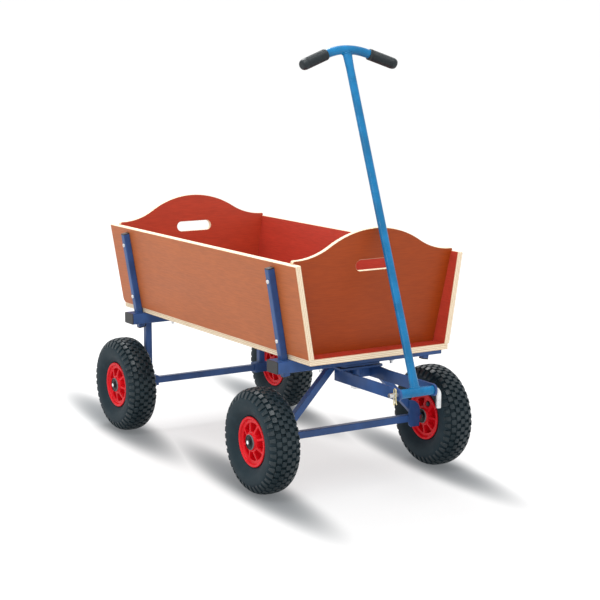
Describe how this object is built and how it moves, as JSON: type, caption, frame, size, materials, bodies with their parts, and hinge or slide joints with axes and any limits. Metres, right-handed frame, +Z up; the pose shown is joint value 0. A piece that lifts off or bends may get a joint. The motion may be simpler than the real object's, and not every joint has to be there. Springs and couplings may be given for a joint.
{
  "type": "wagon with pull handle",
  "caption": "Garden wagon: flared plywood box on a steel tube frame, steered front axle, pull handle with cross grip, pneumatic wheels.",
  "frame": {"origin": "on the ground, under the middle of the overall length and width", "axes": "+X forward to the pull handle, +Y to the wagon's left, +Z up"},
  "size_m": [1.1694, 0.595, 1.07],
  "materials": {
    "plywood": "varnished",
    "blue_frame": "satin paint",
    "blue_handle": "gloss paint",
    "zinc": "zinc plated",
    "yellow_zinc": "yellow zinc plated",
    "red_rim": "gloss",
    "tyre": "matt",
    "grip_rubber": "matt",
    "black_plastic": "matt"
  },
  "bodies": {
    "box_and_frame": {"floor_panel": "plywood", "side_panel_left": "plywood", "side_panel_right": "plywood", "front_panel": "plywood", "front_cross_member": "blue_frame", "rear_cross_member": "blue_frame", "cross_member_plugs": "black_plastic", "post_front_left": "blue_frame", "post_front_right": "blue_frame", "post_rear_left": "blue_frame", "post_rear_right": "blue_frame", "post_caps": "black_plastic", "side_screws": "zinc", "floor_screws": "zinc", "floor_bolts": "zinc", "floor_nuts": "zinc", "rear_axle_leg_left": "blue_frame", "rear_axle_leg_right": "blue_frame", "rear_axle_bosses": "blue_frame", "rear_axle_tube": "blue_frame", "rear_axle_shaft": "zinc", "rear_axle_spacers": "zinc", "rear_axle_caps": "zinc", "upper_turntable_plate": "blue_frame", "kingpin": "zinc", "kingpin_nut": "zinc"},
    "rear_board": {"rear_panel": "plywood"},
    "front_axle": {"lower_turntable_plate": "blue_frame", "turntable_disc": "black_plastic", "kingpin_sleeve": "blue_frame", "fork_arm_left": "blue_frame", "fork_arm_right": "blue_frame", "fork_plate": "blue_frame", "front_strut_left": "blue_frame", "front_strut_right": "blue_frame", "front_gussets": "blue_frame", "front_axle_tube": "blue_frame", "front_axle_shaft": "zinc", "front_axle_spacers": "zinc", "front_axle_caps": "zinc"},
    "pull_handle": {"drawbar_hinge_tube": "blue_handle", "drawbar_tube": "blue_handle", "handlebar": "blue_handle", "grip_left": "grip_rubber", "grip_right": "grip_rubber"},
    "hitch_pin_body": {"hitch_pin": "zinc"},
    "clip_body": {"retaining_clip": "yellow_zinc"},
    "wheel_front_left": {"tyre_front_left": "tyre", "rim_front_left": "red_rim", "hub_bushes_front_left": "black_plastic"},
    "wheel_front_right": {"tyre_front_right": "tyre", "rim_front_right": "red_rim", "hub_bushes_front_right": "black_plastic"},
    "wheel_rear_left": {"tyre_rear_left": "tyre", "rim_rear_left": "red_rim", "hub_bushes_rear_left": "black_plastic"},
    "wheel_rear_right": {"tyre_rear_right": "tyre", "rim_rear_right": "red_rim", "hub_bushes_rear_right": "black_plastic"}
  },
  "joints": [
    {"name": "steering", "type": "hinge", "parent": "box_and_frame", "child": "front_axle", "pos_m": [0.32225, 0, 0.29], "axis": [0, 0, 1], "range_deg": [-30, 30]},
    {"name": "handle_lower", "type": "hinge", "parent": "front_axle", "child": "pull_handle", "pos_m": [0.57025, 0, 0.271], "axis": [0, 1, 0], "range_deg": [0, 127]},
    {"name": "pin_turn", "type": "hinge", "parent": "front_axle", "child": "hitch_pin_body", "pos_m": [0.57025, 0, 0.271], "axis": [0, 1, 0], "continuous": true},
    {"name": "clip_pull", "type": "slide", "parent": "hitch_pin_body", "child": "clip_body", "axis": [0, 0, 1], "range_m": [0, 0.045]},
    {"name": "rear_board_lift", "type": "slide", "parent": "box_and_frame", "child": "rear_board", "axis": [-0.0872, 0, 0.9962], "range_m": [0, 0.3]},
    {"name": "wheel_front_left_spin", "type": "hinge", "parent": "front_axle", "child": "wheel_front_left", "pos_m": [0.29525, 0.255, 0.13], "axis": [0, 1, 0], "continuous": true},
    {"name": "wheel_front_right_spin", "type": "hinge", "parent": "front_axle", "child": "wheel_front_right", "pos_m": [0.29525, -0.255, 0.13], "axis": [0, 1, 0], "continuous": true},
    {"name": "wheel_rear_left_spin", "type": "hinge", "parent": "box_and_frame", "child": "wheel_rear_left", "pos_m": [-0.45475, 0.255, 0.13], "axis": [0, 1, 0], "continuous": true},
    {"name": "wheel_rear_right_spin", "type": "hinge", "parent": "box_and_frame", "child": "wheel_rear_right", "pos_m": [-0.45475, -0.255, 0.13], "axis": [0, 1, 0], "continuous": true}
  ]
}
